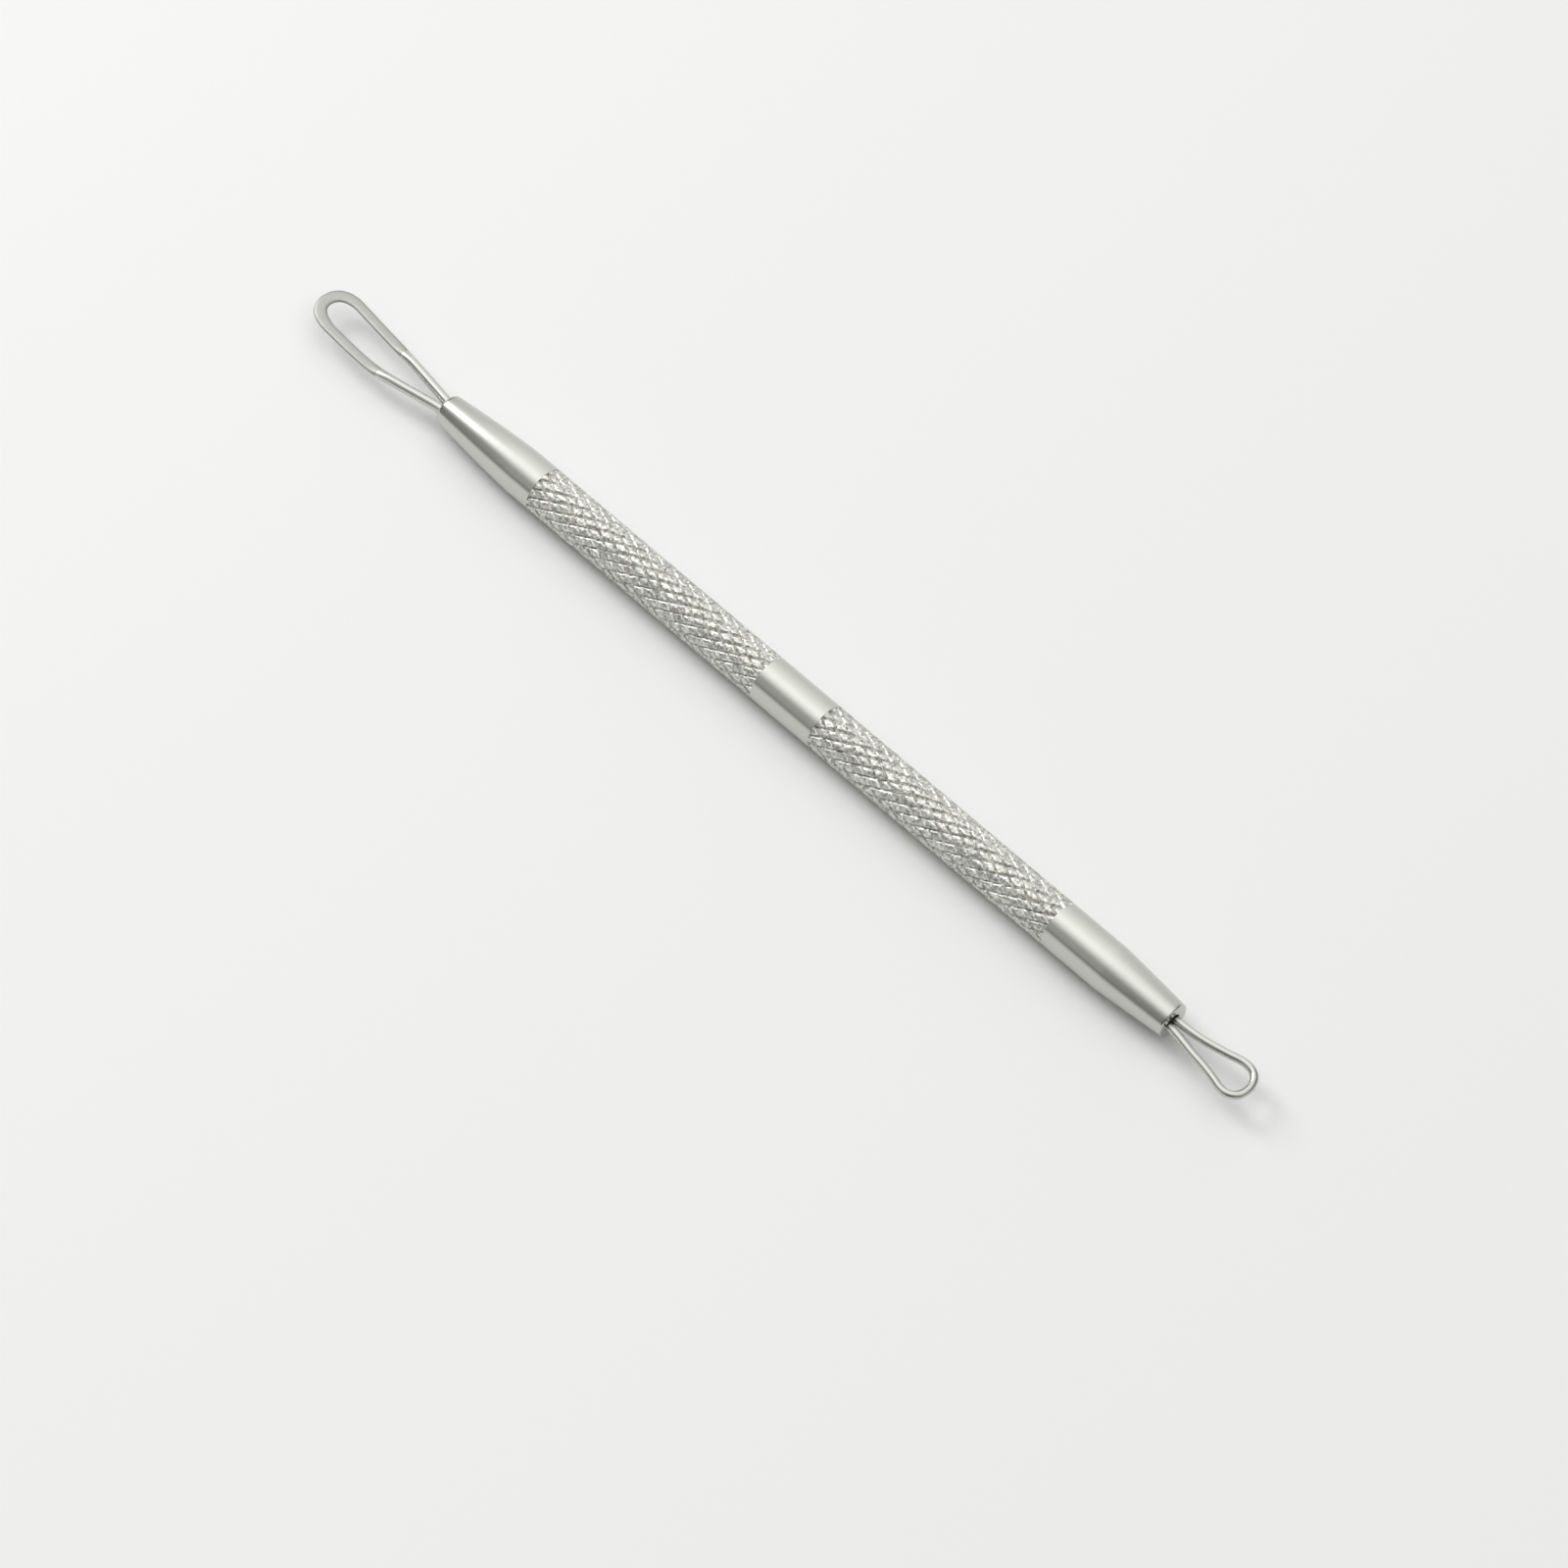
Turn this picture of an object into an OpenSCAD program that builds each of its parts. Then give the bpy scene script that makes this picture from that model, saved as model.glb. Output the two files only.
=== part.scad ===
// Double-ended comedone extractor: a turned steel handle with two knurled grip bands,
// a long coined loop at one end and a short round-wire loop at the other.
// It lies along X on the XY plane, with the long loop towards -X.

/* [Handle] */
// Diameter of the handle
handle_d = 4.8; // [4:0.1:6]
// Length of each knurled band, a whole number of knurl pitches
band_len = 30; // [20:2:40]
// Length of the plain waist between the bands
waist_len = 7.5; // [4:0.5:14]
// Length of the plain end that holds the large loop
large_end_len = 13.4; // [12:0.2:20]
// Length of the plain end that holds the small loop
small_end_len = 14.3; // [12:0.2:20]
// Length of the taper at the large loop
large_taper = 10.6; // [4:0.2:11]
// Length of the taper at the small loop
small_taper = 7.8; // [4:0.2:11]
// Diameter of the end face at the large loop
large_face_d = 3.2; // [3.2:0.1:4]
// Diameter of the end face at the small loop
small_face_d = 3.6; // [3.4:0.1:4]
// Radius of the rounded rim at the large loop
large_rim_r = 0.45; // [0.1:0.05:0.45]
// Radius of the rounded rim at the small loop
small_rim_r = 0.2; // [0.1:0.05:0.4]
// Roundness of the taper at the large loop, 1 for a straight cone
large_bulge = 1.35; // [1:0.05:2]
// Roundness of the taper at the small loop, 1 for a straight cone
small_bulge = 1.1; // [1:0.05:2]

/* [Knurl] */
// Number of grooves of each hand around the handle
starts = 14; // [10:2:20]
// Distance along the handle from one diamond to the next
pitch = 2; // [1:0.5:3]
// Width of a groove at the surface
groove_w = 0.28; // [0.15:0.01:0.4]
// Depth of a groove
groove_deep = 0.2; // [0.1:0.02:0.3]

/* [Loops] */
// Diameter of the large loop's wire
large_wire_d = 1; // [0.8:0.02:1]
// Diameter of the small loop's wire
small_wire_d = 0.82; // [0.6:0.02:0.82]
// Reach of the large loop beyond the handle
large_reach = 18; // [14:0.5:24]
// Reach of the small loop beyond the handle
small_reach = 10; // [8:0.5:14]
// Width of the large loop between wire centres
large_w = 3.8; // [3:0.1:5]
// Width of the small loop between wire centres
small_w = 3.7; // [3:0.1:4.2]
// Thickness of the coined part of the large loop
coin_t = 0.4; // [0.25:0.01:0.6]
// Width of the coined strip along the arms
coin_arm_w = 1.06; // [0.9:0.02:1.3]
// Width of the coined strip round the tip
coin_tip_w = 1.3; // [1:0.02:1.5]
// Diameter of the bore that holds the large loop
large_bore_d = 2.1; // [2.1:0.05:2.2]
// Diameter of the bore that holds the small loop
small_bore_d = 1.75; // [1.75:0.05:1.9]
// Depth of each bore
bore_deep = 10; // [6:0.5:11]
// Distance of the small loop's bore from the handle's axis
small_bore_off = 0.15; // [0:0.05:0.2]

/* [Hidden] */

handle_r = handle_d / 2;
handle_len = large_end_len + small_end_len + 2 * band_len + waist_len;
total_len = large_reach + handle_len + small_reach;
// X of the two end faces, with the middle of the whole tool at X = 0
large_face_x = large_reach - total_len / 2;
small_face_x = large_face_x + handle_len;
band_1_x = large_face_x + large_end_len;
waist_x = band_1_x + band_len;
band_2_x = waist_x + waist_len;

// The diamonds stand a hair below the plain surface
crest_r = handle_r - 0.02;
groove_r = handle_r - groove_deep;
step_a = 360 / starts;
half_pitch = pitch / 2;
// Share of each diamond left between the grooves
land = 1 - groove_w / (cos(atan(step_a * PI / 180 * handle_r / pitch)) * step_a * PI / 180 * handle_r);
// Each band runs on by half a pitch inside its plain neighbours
rings = 2 * round(band_len / pitch) + 2;

// Each loop's two legs lie side by side in its bore, this far from its middle
leg_gap = 0.01;
large_leg = (large_wire_d + leg_gap) / 2;
small_leg = (small_wire_d + leg_gap) / 2;
// A leg is a hair thinner than the bent wire that it runs into
leg_step = 0.03;
leg_overlap = 0.5;
path_start = -1.4;
sides = 16;
steps = 9;

// Steel colours
steel = [0.74, 0.75, 0.73];
coined = [0.70, 0.70, 0.69];
bright = [0.78, 0.78, 0.76];

function smooth(a, b, v) = let(k = min(max((v - a) / (b - a), 0), 1)) k * k * (3 - 2 * k);
function bezier(p, k) =
    p[0] * pow(1 - k, 3) + p[1] * 3 * k * pow(1 - k, 2) + p[2] * 3 * k * k * (1 - k) + p[3] * pow(k, 3);
function curve(segments) = [
    for (i = [0 : len(segments) - 1])
        for (j = [0 : steps - (i == len(segments) - 1 ? 0 : 1)])
            bezier(segments[i], j / steps)
];
// A path of curves drawn at one reach and width, stretched to another.
// Its first and last points, in the bore, stay where they are.
function stretched(path, long, wide) = [
    for (p = path) p[0] <= 0 ? p : [p[0] * long, p[1] * (1 + (wide - 1) * smooth(0, 4, p[0]))]
];

// Half outline of a plain end as [radius, distance from its end face]
function end_profile(face_r, rim_r, taper, bulge, length) = concat(
    [[0, 0]],
    [for (a = [0 : 30 : 90]) [face_r - rim_r + rim_r * sin(a), rim_r - rim_r * cos(a)]],
    [for (k = [1 : 6]) [
        face_r + (handle_r - face_r) * (1 - pow(1 - k / 6, bulge)),
        rim_r + (taper - rim_r) * k / 6
    ]],
    [[handle_r, length], [0, length]]
);

// Points of the knurled surface on ring j, turned to place i
function on_ring(j, i, r) = [
    (j - 1) * half_pitch,
    r * cos((i + (j % 2) / 2) * step_a),
    r * sin((i + (j % 2) / 2) * step_a)
];
// The four corners of the flat top of the diamond centred on ring j
function diamond_top(j, i) = let(a = (i + ((j + 1) % 2) / 2) * step_a, x = (j - 1) * half_pitch) [
    for (c = [[-1, 0], [0, -1], [1, 0], [0, 1]])
        let(t = a + c[1] * land * step_a / 2)
            [x + c[0] * land * half_pitch, crest_r * cos(t), crest_r * sin(t)]
];

module along_x() {
    rotate([90, 0, 90]) children();
}

module plain_end(face_d, rim_r, taper, bulge, length) {
    along_x() rotate_extrude($fn = 48)
        polygon(end_profile(face_d / 2, rim_r, taper, bulge, length));
}

// One knurled band as a solid bar, starting at X = 0
module knurled_band() {
    corner_count = (rings + 1) * starts;
    points = concat(
        [for (j = [0 : rings], i = [0 : starts - 1]) on_ring(j, i, groove_r)],
        [for (j = [1 : rings - 1], i = [0 : starts - 1]) each diamond_top(j, i)],
        [[-half_pitch, 0, 0], [(rings - 1) * half_pitch, 0, 0]]
    );
    // Corners of diamond i on ring j: left, bottom, right and top
    function corner(j, i, c) = let(up = (j + 1) % 2)
        c == 0 ? (j - 1) * starts + i
        : c == 1 ? j * starts + (i + up + starts - 1) % starts
        : c == 2 ? (j + 1) * starts + i
        : j * starts + (i + up) % starts;
    function top(j, i, c) = corner_count + ((j - 1) * starts + i) * 4 + c;
    tops = corner_count + (rings - 1) * starts * 4;
    flanks = [
        for (j = [1 : rings - 1], i = [0 : starts - 1], c = [0 : 3])
            let(a = corner(j, i, c), b = corner(j, i, (c + 1) % 4))
                each [
                    [a, b, top(j, i, (c + 1) % 4)],
                    [a, top(j, i, (c + 1) % 4), top(j, i, c)]
                ]
    ];
    lands = [
        for (j = [1 : rings - 1], i = [0 : starts - 1])
            each [
                [top(j, i, 0), top(j, i, 1), top(j, i, 2)],
                [top(j, i, 0), top(j, i, 2), top(j, i, 3)]
            ]
    ];
    caps = [
        for (i = [0 : starts - 1])
            each [
                [tops, corner(1, i, 1), corner(1, i, 0)],
                [tops, corner(1, i, 0), corner(1, i, 3)],
                [tops + 1, corner(rings - 1, i, 3), corner(rings - 1, i, 2)],
                [tops + 1, corner(rings - 1, i, 2), corner(rings - 1, i, 1)]
            ]
    ];
    polyhedron(points, concat(flanks, lands, caps));
}

// A flat path swept with a section that may change from round to coined.
// sizes holds the width, the thickness and the squareness at each point of the path.
module sweep(path, sizes) {
    n = len(path);
    function direction(i) = let(d = path[min(i + 1, n - 1)] - path[max(i - 1, 0)]) d / norm(d);
    function rounded(v, q) = sign(v) * pow(abs(v), q);
    points = concat(
        [for (i = [0 : n - 1], k = [0 : sides - 1]) let(
            a = (k + 0.5) * 360 / sides,
            d = direction(i),
            across = sizes[i][0] / 2 * rounded(cos(a), sizes[i][2]),
            up = sizes[i][1] / 2 * rounded(sin(a), sizes[i][2])
        ) [path[i][0] - d[1] * across, path[i][1] + d[0] * across, up]],
        [[path[0][0], path[0][1], 0], [path[n - 1][0], path[n - 1][1], 0]]
    );
    skin = [
        for (i = [0 : n - 2], k = [0 : sides - 1])
            let(m = (k + 1) % sides)
                each [
                    [i * sides + k, (i + 1) * sides + k, (i + 1) * sides + m],
                    [i * sides + k, (i + 1) * sides + m, i * sides + m]
                ]
    ];
    ends = [
        for (k = [0 : sides - 1])
            let(m = (k + 1) % sides)
                each [
                    [n * sides, k, m],
                    [n * sides + 1, (n - 1) * sides + m, (n - 1) * sides + k]
                ]
    ];
    polyhedron(points, concat(skin, ends));
}

// The two straight legs of a loop, from the bottom of the bore towards its mouth
module legs(wire_d, off) {
    for (side = [-1, 1])
        translate([-bore_deep, side * off, 0])
            along_x() cylinder(d = wire_d - leg_step, h = bore_deep + path_start + leg_overlap, $fn = 32);
}

module handle() {
    color(steel)
        translate([0, 0, handle_r])
            difference() {
                union() {
                    translate([large_face_x, 0, 0])
                        plain_end(large_face_d, large_rim_r, large_taper, large_bulge, large_end_len);
                    translate([band_1_x, 0, 0]) knurled_band();
                    translate([waist_x, 0, 0])
                        along_x() cylinder(r = handle_r, h = waist_len, $fn = 72);
                    translate([band_2_x, 0, 0]) knurled_band();
                    translate([small_face_x, 0, 0]) mirror([1, 0, 0])
                        plain_end(small_face_d, small_rim_r, small_taper, small_bulge, small_end_len);
                }
                translate([large_face_x - 1, 0, 0])
                    along_x() cylinder(d = large_bore_d, h = bore_deep + 1, $fn = 48);
                translate([small_face_x - bore_deep, -small_bore_off, 0])
                    along_x() cylinder(d = small_bore_d, h = bore_deep + 1, $fn = 48);
            }
}

// Wire that leaves the handle round and is coined flat towards the tip.
// The loop is hand bent, so its outer part leans a little to one side.
module large_loop() {
    long = large_reach / 18;
    tip_e = 18 - coin_tip_w / 2 / long;
    path = stretched(curve([
        [[path_start, large_leg], [-0.7, large_leg], [-0.2, large_leg], [0.5, 0.52]],
        [[0.5, 0.52], [2.5, 0.8], [5.4, 1.27], [8, 1.53]],
        [[8, 1.53], [10, 1.73], [12.4, 2.02], [14.4, 2.24]],
        [[14.4, 2.24], [16.2, 2.44], [tip_e, 1.7], [tip_e, 0.35]],
        [[tip_e, 0.35], [tip_e, -0.85], [16.1, -1.5], [14.2, -1.62]],
        [[14.2, -1.62], [12.6, -1.73], [10.5, -1.9], [8.6, -1.86]],
        [[8.6, -1.86], [6.6, -1.8], [2.5, -0.8], [0.5, -0.52]],
        [[0.5, -0.52], [-0.2, -large_leg], [-0.7, -large_leg], [path_start, -large_leg]]
    ]), long, large_w / 3.8);
    sizes = [
        for (p = path)
            let(
                flat = smooth(6 * long, 9 * long, p[0]),
                round_tip = smooth(14 * long, tip_e * long, p[0]),
                arm_w = large_wire_d + (coin_arm_w - large_wire_d) * flat
            ) [
                arm_w + (coin_tip_w - coin_arm_w) * round_tip,
                large_wire_d + (coin_t - large_wire_d) * flat,
                1 - 0.4 * flat
            ]
    ];
    color(coined)
        translate([large_face_x, 0, handle_r])
            mirror([1, 0, 0]) {
                sweep(path, sizes);
                legs(large_wire_d, large_leg);
            }
}

// Round wire in a teardrop, a little lopsided from hand bending
module small_loop() {
    path = stretched(curve([
        [[path_start, small_leg], [0, small_leg], [1.2, 0.42], [2.4, 0.54]],
        [[2.4, 0.54], [3.6, 0.66], [5.2, 1], [6.6, 1.4]],
        [[6.6, 1.4], [7.95, 1.79], [9.05, 1.58], [9.45, 0.5]],
        [[9.45, 0.5], [9.69, -0.13], [9.6, -1.09], [9.1, -1.52]],
        [[9.1, -1.52], [8.6, -1.95], [8, -2.04], [7.2, -1.8]],
        [[7.2, -1.8], [6.2, -1.5], [5, -1.29], [4, -1.16]],
        [[4, -1.16], [2.6, -0.98], [0.8, -small_leg], [path_start, -small_leg]]
    ]), small_reach / 10, small_w / 3.7);
    color(bright)
        translate([small_face_x, -small_bore_off, handle_r]) {
            sweep(path, [for (p = path) [small_wire_d, small_wire_d, 1]]);
            legs(small_wire_d, small_leg);
        }
}

handle();
large_loop();
small_loop();
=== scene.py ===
import math

import bpy
from mathutils import Matrix, Vector, noise


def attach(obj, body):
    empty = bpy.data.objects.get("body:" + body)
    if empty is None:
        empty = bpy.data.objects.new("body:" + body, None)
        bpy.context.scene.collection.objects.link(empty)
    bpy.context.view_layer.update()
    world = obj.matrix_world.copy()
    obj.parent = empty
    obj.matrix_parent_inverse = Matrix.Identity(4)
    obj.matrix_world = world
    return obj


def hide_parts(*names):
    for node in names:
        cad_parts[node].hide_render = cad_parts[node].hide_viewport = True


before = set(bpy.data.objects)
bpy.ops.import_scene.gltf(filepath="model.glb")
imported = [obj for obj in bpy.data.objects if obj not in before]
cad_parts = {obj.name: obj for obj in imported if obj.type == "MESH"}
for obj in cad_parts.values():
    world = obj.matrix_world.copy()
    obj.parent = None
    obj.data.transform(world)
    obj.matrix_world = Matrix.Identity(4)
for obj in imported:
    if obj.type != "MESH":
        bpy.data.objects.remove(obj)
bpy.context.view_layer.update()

MM = 0.001

# Sizes in mm, as in the CAD model
HANDLE_R = 2.4
BAND_LEN = 30.0
WAIST_LEN = 7.5
LARGE_END_LEN = 13.4
SMALL_END_LEN = 14.3
LARGE_TAPER = 10.6
SMALL_TAPER = 7.8
LARGE_FACE_R = 1.6
SMALL_FACE_R = 1.8
LARGE_RIM_R = 0.45
SMALL_RIM_R = 0.2
LARGE_BULGE = 1.35
SMALL_BULGE = 1.1
STARTS = 14
PITCH = 2.0
GROOVE_W = 0.28
GROOVE_DEEP = 0.2
CREST_SINK = 0.02
LARGE_WIRE_D = 1.0
SMALL_WIRE_D = 0.82
LARGE_REACH = 18.0
SMALL_REACH = 10.0
COIN_T = 0.4
COIN_ARM_W = 1.06
COIN_TIP_W = 1.3
LARGE_BORE_R = 1.05
SMALL_BORE_R = 0.875
BORE_DEEP = 10.0
SMALL_BORE_OFF = 0.15
LARGE_LEG = 0.505
SMALL_LEG = 0.415
LEG_END = -1.4                 # where the straight legs stop, in the bore
LEG_MIDDLE = -5.0

HANDLE_LEN = LARGE_END_LEN + SMALL_END_LEN + 2 * BAND_LEN + WAIST_LEN
LARGE_FACE_X = LARGE_REACH - (LARGE_REACH + HANDLE_LEN + SMALL_REACH) / 2
SMALL_FACE_X = LARGE_FACE_X + HANDLE_LEN
BAND_1_X = LARGE_FACE_X + LARGE_END_LEN
WAIST_X = BAND_1_X + BAND_LEN
BAND_2_X = WAIST_X + WAIST_LEN

# Mesh density
CELL = 8                       # lattice lines across one knurl diamond
SEGMENTS = STARTS * CELL       # points round the handle
WIRE_SIDES = 24
CURVE_STEPS = 28
RIM_STEPS = 6
TAPER_STEPS = 18

# Surface of the knurl, in mm, seen in the photo but too fine for the CAD model
GRAIN_HEIGHT, GRAIN_PER_MM = 0.022, 4.1
WAVE_HEIGHT, WAVE_PER_MM = 0.016, 1.7
RISING_DEPTH, RISING_WIDTH = 1.25, 1.2      # grooves that turn one way, against the CAD model's
FALLING_DEPTH, FALLING_WIDTH = 0.95, 1.05   # grooves that turn the other way
GRAIN_DROP = 0.01              # lowers the grain, so that few of its tops are cut off
BORE_MOUTH = 0.04              # broken edge of a bore
BORE_RINGS = (5.0, 1.0, BORE_MOUTH)


# Camera
def place_camera(azimuth, elevation, distance, target, lens):
    az, el = math.radians(azimuth), math.radians(elevation)
    back = Vector((math.sin(az) * math.cos(el), -math.cos(az) * math.cos(el), math.sin(el)))
    right = Vector((math.cos(az), math.sin(az), 0.0))
    up = back.cross(right)
    turn = Matrix((right, up, back)).transposed().to_4x4()
    data = bpy.data.cameras.new("camera")
    data.lens = lens
    data.sensor_width = 36.0
    data.clip_start = 0.01
    data.clip_end = 20.0
    camera = bpy.data.objects.new("camera", data)
    camera.matrix_world = Matrix.Translation(Vector(target) + back * distance) @ turn
    bpy.context.scene.collection.objects.link(camera)
    bpy.context.scene.camera = camera


place_camera(azimuth=45.1, elevation=58.04, distance=0.6462, target=(0.0079, -0.0060, 0.0), lens=160.5)


# Meshes and curves
def smooth(a, b, v):
    k = min(max((v - a) / (b - a), 0.0), 1.0)
    return k * k * (3 - 2 * k)


def add_mesh(name, points, faces, material):
    mesh = bpy.data.meshes.new(name)
    mesh.from_pydata([tuple(c * MM for c in p) for p in points], [], faces)
    mesh.materials.append(material)
    mesh.polygons.foreach_set("use_smooth", [True] * len(mesh.polygons))
    mesh.validate()
    mesh.update()
    piece = bpy.data.objects.new(name, mesh)
    bpy.context.scene.collection.objects.link(piece)
    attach(piece, "root")
    return piece


def bezier(p, k):
    a, b, c, d = (1 - k) ** 3, 3 * k * (1 - k) ** 2, 3 * k * k * (1 - k), k ** 3
    return (a * p[0][0] + b * p[1][0] + c * p[2][0] + d * p[3][0],
            a * p[0][1] + b * p[1][1] + c * p[2][1] + d * p[3][1])


def curve(segments):
    points = []
    for segment in segments:
        points += [bezier(segment, j / CURVE_STEPS) for j in range(CURVE_STEPS)]
    points.append(segments[-1][3])
    return points


# Materials, with noise scales per metre and bump heights in mm
def new_material(name, color, roughness):
    material = bpy.data.materials.new(name)
    material.use_nodes = True
    tree = material.node_tree
    shader = tree.nodes["Principled BSDF"]
    shader.inputs["Base Color"].default_value = (*color, 1.0)
    shader.inputs["Metallic"].default_value = 1.0
    shader.inputs["Roughness"].default_value = roughness
    return material, tree, shader


def noise_node(tree, scale, stretch=(1, 1, 1), detail=3.0):
    coords = tree.nodes.new("ShaderNodeTexCoord")
    mapping = tree.nodes.new("ShaderNodeMapping")
    mapping.inputs["Scale"].default_value = [scale * s for s in stretch]
    texture = tree.nodes.new("ShaderNodeTexNoise")
    texture.inputs["Scale"].default_value = 1.0
    texture.inputs["Detail"].default_value = detail
    tree.links.new(coords.outputs["Object"], mapping.inputs["Vector"])
    tree.links.new(mapping.outputs["Vector"], texture.inputs["Vector"])
    return texture.outputs["Fac"]


def ramp(tree, value, low, high, start=0.3, end=0.7):
    node = tree.nodes.new("ShaderNodeMapRange")
    node.inputs["From Min"].default_value = start
    node.inputs["From Max"].default_value = end
    node.inputs["To Min"].default_value = low
    node.inputs["To Max"].default_value = high
    tree.links.new(value, node.inputs["Value"])
    return node.outputs["Result"]


def tint(tree, factor, dark, light):
    node = tree.nodes.new("ShaderNodeMix")
    node.data_type = "RGBA"
    node.inputs["A"].default_value = (*dark, 1.0)
    node.inputs["B"].default_value = (*light, 1.0)
    tree.links.new(factor, node.inputs["Factor"])
    return node.outputs["Result"]


def bump(tree, height, distance, below=None):
    node = tree.nodes.new("ShaderNodeBump")
    node.inputs["Distance"].default_value = distance * MM
    node.inputs["Strength"].default_value = 1.0
    tree.links.new(height, node.inputs["Height"])
    if below is not None:
        tree.links.new(below, node.inputs["Normal"])
    return node.outputs["Normal"]


def turned_steel():
    material, tree, shader = new_material("turned_steel", (0.57, 0.57, 0.54), 0.24)
    lines = noise_node(tree, 1000, (14, 0.25, 0.25), 4.0)
    patches = noise_node(tree, 260, (0.5, 1, 1), 2.0)
    tree.links.new(ramp(tree, patches, 0.15, 0.21), shader.inputs["Roughness"])
    tree.links.new(tint(tree, lines, (0.54, 0.545, 0.505), (0.6, 0.605, 0.56)), shader.inputs["Base Color"])
    tree.links.new(bump(tree, lines, 0.003), shader.inputs["Normal"])
    return material


def knurled_steel():
    material, tree, shader = new_material("knurled_steel", (0.62, 0.62, 0.58), 0.45)
    grain = noise_node(tree, 3400, detail=4.0)
    dents = noise_node(tree, 1900, (0.7, 1, 1), 2.0)
    tree.links.new(ramp(tree, dents, 0.32, 0.46), shader.inputs["Roughness"])
    specks = ramp(tree, grain, 0.0, 1.0, 0.35, 0.62)
    tree.links.new(tint(tree, specks, (0.41, 0.41, 0.38), (0.84, 0.84, 0.79)), shader.inputs["Base Color"])
    coarse = bump(tree, dents, 0.08)
    tree.links.new(bump(tree, grain, 0.09, below=coarse), shader.inputs["Normal"])
    return material


def wire_steel(name, color, rough_low, rough_high):
    material, tree, shader = new_material(name, color, rough_low)
    grain = noise_node(tree, 1500, detail=3.0)
    tree.links.new(ramp(tree, grain, rough_low, rough_high), shader.inputs["Roughness"])
    dark = tuple(c * 0.94 for c in color)
    tree.links.new(tint(tree, grain, dark, color), shader.inputs["Base Color"])
    tree.links.new(bump(tree, grain, 0.004), shader.inputs["Normal"])
    return material


PLAIN = turned_steel()
KNURLED = knurled_steel()
# Bore walls and bottoms: steel coloured nearly black, painted shade inside the bores
BORE_PAINTED_SHADE = wire_steel("bore_painted_shade", (0.12, 0.12, 0.12), 0.5, 0.6)
# Flattened part of the large loop: coloured darker and made rougher than the round wire
DARKER_FLAT = wire_steel("darker_flat_steel", (0.44, 0.44, 0.415), 0.46, 0.54)
BRIGHT = wire_steel("bright_wire", (0.6, 0.6, 0.57), 0.24, 0.3)


# Handle, whose mesh has these materials
ON_PLAIN, ON_KNURL, ON_BORE = 0, 1, 2


def end_profile(face_r, rim_r, taper, bulge, length):
    """(distance from the face, radius) of a plain end, from its face inwards."""
    points = []
    for step in range(RIM_STEPS + 1):
        a = math.pi / 2 * step / RIM_STEPS
        points.append((rim_r - rim_r * math.cos(a), face_r - rim_r + rim_r * math.sin(a)))
    for step in range(1, TAPER_STEPS + 1):
        k = step / TAPER_STEPS
        points.append((rim_r + (taper - rim_r) * k, face_r + (HANDLE_R - face_r) * (1 - (1 - k) ** bulge)))
    points.append((length, HANDLE_R))
    return points


def ring(x, r, across=0.0):
    points = []
    for i in range(SEGMENTS):
        a = 2 * math.pi * i / SEGMENTS
        points.append((x, across + r * math.cos(a), HANDLE_R + r * math.sin(a)))
    return points


def warp(v):
    """Moves lattice lines towards the grooves, which stay at whole numbers."""
    stops = (0.0, 0.07, 0.15, 0.27, 0.5, 0.73, 0.85, 0.93, 1.0)
    whole = math.floor(v + 1e-9)
    return whole + stops[round((v - whole) * CELL)]


STEP_A = 2 * math.pi / STARTS
CELL_WIDTH = STEP_A * HANDLE_R * math.cos(math.atan(STEP_A * HANDLE_R / PITCH))
GROOVE_HALF = GROOVE_W / CELL_WIDTH / 2


def groove(v, spot, seed, wide):
    """Depth, from 0 to 1, of the grooves at whole values of v, with uneven edges."""
    wander = 0.03 * noise.noise(Vector((spot[0] * 0.9, spot[1] * 0.9, seed)))
    uneven = 0.45 * noise.noise(Vector((spot[0] * 1.3, spot[1] * 1.3, seed + 7.0)))
    width = wide * GROOVE_HALF * (1.0 + uneven)
    d = abs(v + wander - round(v))
    return max(0.0, 1.0 - d / width)


def knurl_row(k, start):
    points = []
    for i in range(SEGMENTS):
        s = i + (k % 2) / 2
        p, q = warp((s + k / 2) / CELL), warp((s - k / 2) / CELL)
        x, a = (p - q) / 2 * PITCH, (p + q) / 2 * STEP_A
        spot = (x + start, a * HANDLE_R)
        rising = RISING_DEPTH * groove(p, spot, 1.0, RISING_WIDTH)
        falling = FALLING_DEPTH * groove(q, spot, 4.0, FALLING_WIDTH)
        cut = max(rising, falling)
        around = Vector((x + start, HANDLE_R * math.cos(a), HANDLE_R * math.sin(a)))
        grain = GRAIN_HEIGHT * noise.noise(around * GRAIN_PER_MM)
        rough = grain + WAVE_HEIGHT * noise.noise(around * WAVE_PER_MM)
        r = HANDLE_R - CREST_SINK - (GROOVE_DEEP - CREST_SINK) * cut + min(rough - GRAIN_DROP, CREST_SINK)
        points.append((start + x, r * math.cos(a), HANDLE_R + r * math.sin(a)))
    return points


def join_rings(faces, first, second):
    for i in range(SEGMENTS):
        j = (i + 1) % SEGMENTS
        faces.append((first + i, first + j, second + j, second + i))


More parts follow.
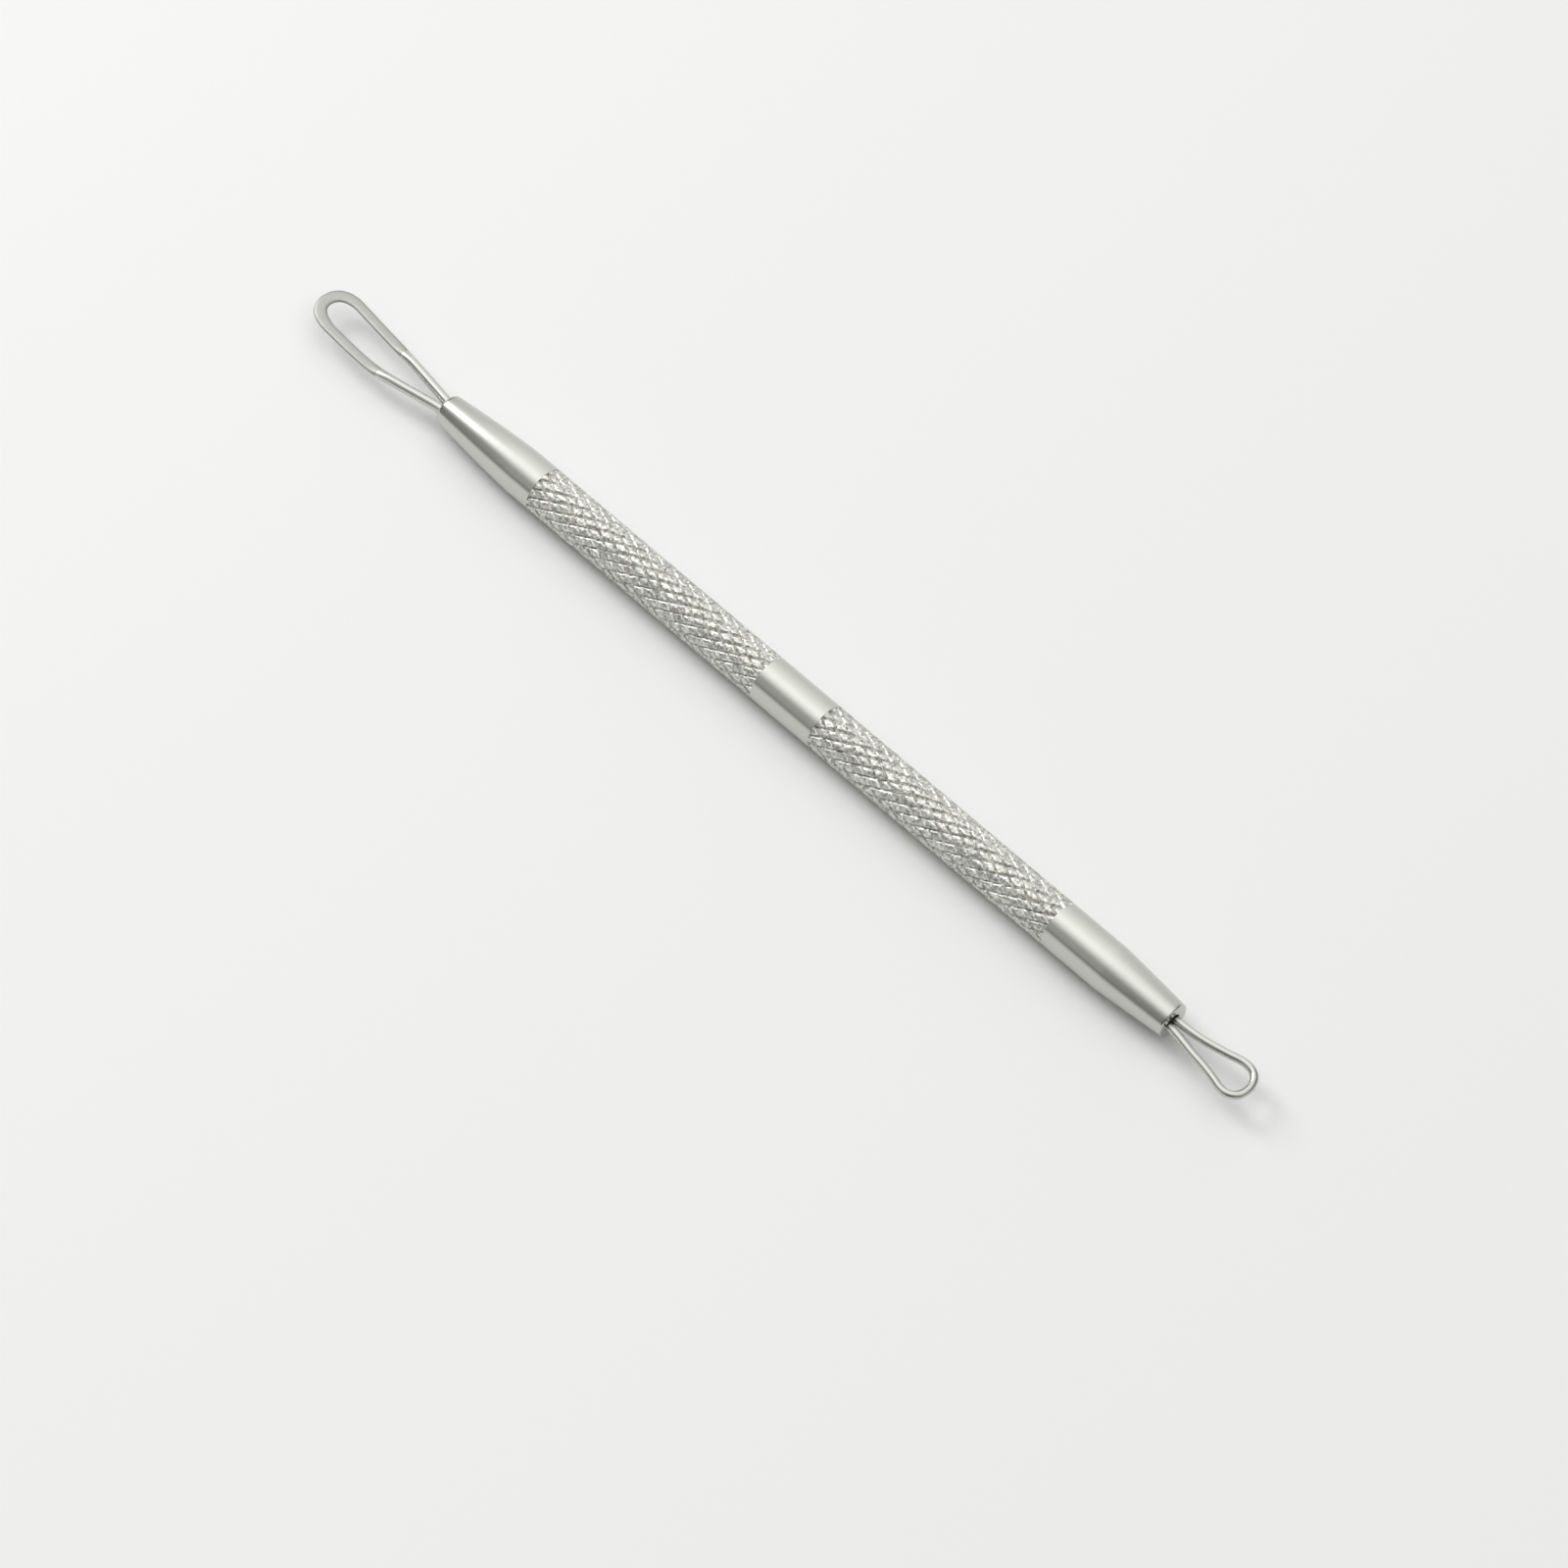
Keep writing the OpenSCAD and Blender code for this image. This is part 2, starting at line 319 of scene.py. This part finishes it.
def make_handle():
    points, faces, kinds = [], [], []

    def add_ring(p):
        points.extend(p)
        return len(points) - SEGMENTS

    def mark(kind):
        kinds.extend([kind] * (len(faces) - len(kinds)))

    # Plain end at the large loop, from the bottom of its bore outwards and back along its outside
    last = add_ring(ring(LARGE_FACE_X + BORE_DEEP, LARGE_BORE_R))
    faces.append(tuple(range(last + SEGMENTS - 1, last - 1, -1)))
    for depth in (*BORE_RINGS, 0.0):
        here = add_ring(ring(LARGE_FACE_X + depth, LARGE_BORE_R + (BORE_MOUTH if depth == 0.0 else 0.0)))
        join_rings(faces, last, here)
        last = here
    # the bore's walls and bottom get the painted shade
    mark(ON_BORE)
    for distance, r in end_profile(LARGE_FACE_R, LARGE_RIM_R, LARGE_TAPER, LARGE_BULGE, LARGE_END_LEN):
        here = add_ring(ring(LARGE_FACE_X + distance, r))
        join_rings(faces, last, here)
        last = here
    mark(ON_PLAIN)

    for start in (BAND_1_X, BAND_2_X):
        rows = round(2 * BAND_LEN / PITCH) * CELL
        firsts = [add_ring(knurl_row(k, start)) for k in range(rows + 1)]
        join_rings(faces, last, firsts[0])
        for i in range(SEGMENTS):
            j = (i + 1) % SEGMENTS
            faces.append((firsts[0] + i, firsts[0] + j, firsts[1] + i))
            faces.append((firsts[-2] + i, firsts[-1] + j, firsts[-1] + i))
        for k in range(1, rows):
            shift = k % 2
            for i in range(SEGMENTS):
                j = (i + 1) % SEGMENTS
                m = (i + shift) % SEGMENTS
                faces.append((firsts[k - 1] + m, firsts[k] + j, firsts[k + 1] + m, firsts[k] + i))
        mark(ON_KNURL)
        here = add_ring(ring(start + BAND_LEN, HANDLE_R))
        join_rings(faces, firsts[-1], here)
        last = here
        if start == BAND_1_X:
            here = add_ring(ring(BAND_2_X, HANDLE_R))
            join_rings(faces, last, here)
            last = here
        mark(ON_PLAIN)

    small_end = end_profile(SMALL_FACE_R, SMALL_RIM_R, SMALL_TAPER, SMALL_BULGE, SMALL_END_LEN)
    for distance, r in reversed(small_end[:-1]):
        here = add_ring(ring(SMALL_FACE_X - distance, r))
        join_rings(faces, last, here)
        last = here
    here = add_ring(ring(SMALL_FACE_X, SMALL_BORE_R + BORE_MOUTH, -SMALL_BORE_OFF))
    join_rings(faces, last, here)
    last = here
    mark(ON_PLAIN)
    for depth in (*reversed(BORE_RINGS), BORE_DEEP):
        here = add_ring(ring(SMALL_FACE_X - depth, SMALL_BORE_R, -SMALL_BORE_OFF))
        join_rings(faces, last, here)
        last = here
    faces.append(tuple(range(last, last + SEGMENTS)))
    # the bore's walls and bottom get the painted shade
    mark(ON_BORE)

    piece = add_mesh("turned_handle", points, faces, PLAIN)
    piece.data.materials.append(KNURLED)
    piece.data.materials.append(BORE_PAINTED_SHADE)
    piece.data.polygons.foreach_set("material_index", kinds)
    piece.data.set_sharp_from_angle(angle=math.radians(40))
    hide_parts("handle")


# Loops
def sweep(name, path, sizes, origin, direction, material):
    """A flat path with a section (width, thickness, squareness) at each point."""
    points, faces = [], []
    for i, (px, py) in enumerate(path):
        ax, ay = path[max(i - 1, 0)]
        bx, by = path[min(i + 1, len(path) - 1)]
        length = math.hypot(bx - ax, by - ay)
        dx, dy = (bx - ax) / length, (by - ay) / length
        width, thick, square = sizes[i]
        for k in range(WIRE_SIDES):
            a = 2 * math.pi * (k + 0.5) / WIRE_SIDES
            c, s = math.cos(a), math.sin(a)
            across = width / 2 * math.copysign(abs(c) ** square, c)
            up = thick / 2 * math.copysign(abs(s) ** square, s)
            x = origin[0] + direction * (px - dy * across)
            points.append((x, origin[1] + py + dx * across, origin[2] + up))
    for i in range(len(path) - 1):
        for k in range(WIRE_SIDES):
            m = (k + 1) % WIRE_SIDES
            here, ahead = i * WIRE_SIDES, (i + 1) * WIRE_SIDES
            face = (here + k, here + m, ahead + m, ahead + k)
            faces.append(face if direction > 0 else face[::-1])
    end = (len(path) - 1) * WIRE_SIDES
    first, last = tuple(range(WIRE_SIDES)), tuple(range(end, end + WIRE_SIDES))
    faces.append(first[::-1] if direction > 0 else first)
    faces.append(last if direction > 0 else last[::-1])
    return add_mesh(name, points, faces, material)


def make_large_loop():
    tip = LARGE_REACH - COIN_TIP_W / 2
    path = [(-BORE_DEEP, LARGE_LEG), (LEG_MIDDLE, LARGE_LEG)] + curve([
        ((LEG_END, LARGE_LEG), (-0.7, LARGE_LEG), (-0.2, LARGE_LEG), (0.5, 0.52)),
        ((0.5, 0.52), (2.5, 0.8), (5.4, 1.27), (8.0, 1.53)),
        ((8.0, 1.53), (10.0, 1.73), (12.4, 2.02), (14.4, 2.24)),
        ((14.4, 2.24), (16.2, 2.44), (tip, 1.7), (tip, 0.35)),
        ((tip, 0.35), (tip, -0.85), (16.1, -1.5), (14.2, -1.62)),
        ((14.2, -1.62), (12.6, -1.73), (10.5, -1.9), (8.6, -1.86)),
        ((8.6, -1.86), (6.6, -1.8), (2.5, -0.8), (0.5, -0.52)),
        ((0.5, -0.52), (-0.2, -LARGE_LEG), (-0.7, -LARGE_LEG), (LEG_END, -LARGE_LEG)),
    ]) + [(LEG_MIDDLE, -LARGE_LEG), (-BORE_DEEP, -LARGE_LEG)]
    sizes, kinds = [], []
    for x, _ in path:
        flat = smooth(6.0, 9.0, x)
        round_tip = smooth(14.0, tip, x)
        width = LARGE_WIRE_D + (COIN_ARM_W - LARGE_WIRE_D) * flat + (COIN_TIP_W - COIN_ARM_W) * round_tip
        sizes.append((width, LARGE_WIRE_D + (COIN_T - LARGE_WIRE_D) * flat, 1 - 0.4 * flat))
        kinds.append(0 if flat > 0.5 else 1)
    piece = sweep("coined_loop", path, sizes, (LARGE_FACE_X, 0.0, HANDLE_R), -1, DARKER_FLAT)
    piece.data.materials.append(BRIGHT)
    indices = [kind for kind in kinds[1:] for _ in range(WIRE_SIDES)] + [1, 1]
    piece.data.polygons.foreach_set("material_index", indices)
    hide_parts("large_loop")


def make_small_loop():
    path = [(-BORE_DEEP, SMALL_LEG), (LEG_MIDDLE, SMALL_LEG)] + curve([
        ((LEG_END, SMALL_LEG), (0.0, SMALL_LEG), (1.2, 0.42), (2.4, 0.54)),
        ((2.4, 0.54), (3.6, 0.66), (5.2, 1.0), (6.6, 1.4)),
        ((6.6, 1.4), (7.95, 1.79), (9.05, 1.58), (9.45, 0.5)),
        ((9.45, 0.5), (9.69, -0.13), (9.6, -1.09), (9.1, -1.52)),
        ((9.1, -1.52), (8.6, -1.95), (8.0, -2.04), (7.2, -1.8)),
        ((7.2, -1.8), (6.2, -1.5), (5.0, -1.29), (4.0, -1.16)),
        ((4.0, -1.16), (2.6, -0.98), (0.8, -SMALL_LEG), (LEG_END, -SMALL_LEG)),
    ]) + [(LEG_MIDDLE, -SMALL_LEG), (-BORE_DEEP, -SMALL_LEG)]
    sizes = [(SMALL_WIRE_D, SMALL_WIRE_D, 1.0)] * len(path)
    origin = (SMALL_FACE_X, -SMALL_BORE_OFF, HANDLE_R)
    piece = sweep("round_loop", path, sizes, origin, 1, BRIGHT)
    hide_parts("small_loop")


make_handle()
make_large_loop()
make_small_loop()


# Floor
FLOOR_HALF = 2.5


def make_floor():
    half = FLOOR_HALF
    mesh = bpy.data.meshes.new("floor")
    corners = [(-half, -half, 0), (half, -half, 0), (half, half, 0), (-half, half, 0)]
    mesh.from_pydata(corners, [], [(0, 1, 2, 3)])
    material = bpy.data.materials.new("floor_white")
    material.use_nodes = True
    shader = material.node_tree.nodes["Principled BSDF"]
    shader.inputs["Base Color"].default_value = (0.94, 0.945, 0.936, 1.0)
    shader.inputs["Roughness"].default_value = 0.9
    shader.inputs["Specular IOR Level"].default_value = 0.1
    mesh.materials.append(material)
    floor = bpy.data.objects.new("floor", mesh)
    bpy.context.scene.collection.objects.link(floor)


make_floor()


# Light
def make_softbox(name, height, radiance, left, right, near, far):
    data = bpy.data.lights.new(name, "AREA")
    data.shape = "RECTANGLE"
    data.size = right - left
    data.size_y = far - near
    data.energy = radiance * math.pi * data.size * data.size_y
    light = bpy.data.objects.new(name, data)
    light.location = ((left + right) / 2, (far + near) / 2, height)
    light.visible_camera = False
    bpy.context.scene.collection.objects.link(light)


# Brightness of the studio by the angle from straight up towards the camera's side, in degrees
STUDIO = ((-90, 0.9), (-75, 0.95), (-51, 1.14), (-30, 1.33), (-11, 1.56), (2, 1.56), (12, 1.4), (24, 1.0),
          (38, 0.55), (50, 0.49), (60, 0.48), (68, 0.42), (73, 0.28), (78, 0.42), (84, 0.75), (90, 0.8))
STUDIO_MAX = 1.6
DIM = 0.3                      # what is left of it low down, outside a strip towards the left


def make_world():
    """A bright studio that darkens towards the camera's side, to the right and low down."""
    world = bpy.data.worlds.new("studio")
    bpy.context.scene.world = world
    world.use_nodes = True
    tree = world.node_tree
    background = tree.nodes["Background"]
    background.inputs["Color"].default_value = (1.0, 1.0, 0.99, 1.0)
    coords = tree.nodes.new("ShaderNodeTexCoord")
    split = tree.nodes.new("ShaderNodeSeparateXYZ")
    tree.links.new(coords.outputs["Generated"], split.inputs["Vector"])

    def shades(axis, start, end, low, high):
        node = tree.nodes.new("ShaderNodeMapRange")
        node.interpolation_type = "SMOOTHSTEP"
        for name, value in (("From Min", start), ("From Max", end), ("To Min", low), ("To Max", high)):
            node.inputs[name].default_value = value
        tree.links.new(split.outputs[axis], node.inputs["Value"])
        return node.outputs["Result"]

    def combine(operation, *values):
        node = tree.nodes.new("ShaderNodeMath")
        node.operation = operation
        for socket, value in zip(node.inputs, values):
            if isinstance(value, float):
                socket.default_value = value
            else:
                tree.links.new(value, socket)
        return node.outputs["Value"]

    angle = combine("ARCTAN2", split.outputs["Y"], split.outputs["Z"])
    place = combine("MULTIPLY_ADD", angle, -1 / math.pi, 0.5)
    curve_node = tree.nodes.new("ShaderNodeValToRGB")
    stops = curve_node.color_ramp.elements
    while len(stops) < len(STUDIO):
        stops.new(0.5)
    for stop, (degrees, level) in zip(stops, STUDIO):
        stop.position = (degrees + 90) / 180
        stop.color = (level / STUDIO_MAX,) * 3 + (1.0,)
    tree.links.new(place, curve_node.inputs["Fac"])
    across = combine("MULTIPLY", curve_node.outputs["Color"], STUDIO_MAX)

    strip = combine("MULTIPLY", shades("X", -0.7, -0.5, DIM, 1.0), shades("X", -0.25, 0.0, 1.0, DIM))
    low_light = combine("MAXIMUM", strip, shades("Z", 0.45, 0.85, DIM, 1.0))
    along = combine("MULTIPLY", low_light, shades("X", -0.4, 0.2, 1.0, 0.75))
    tree.links.new(combine("MULTIPLY", across, along), background.inputs["Strength"])


make_softbox("left_lamp", height=0.6, radiance=6.2, left=-1.5, right=-0.56, near=-0.19, far=0.17)
make_world()

scene = bpy.context.scene
scene.view_settings.view_transform = "Standard"
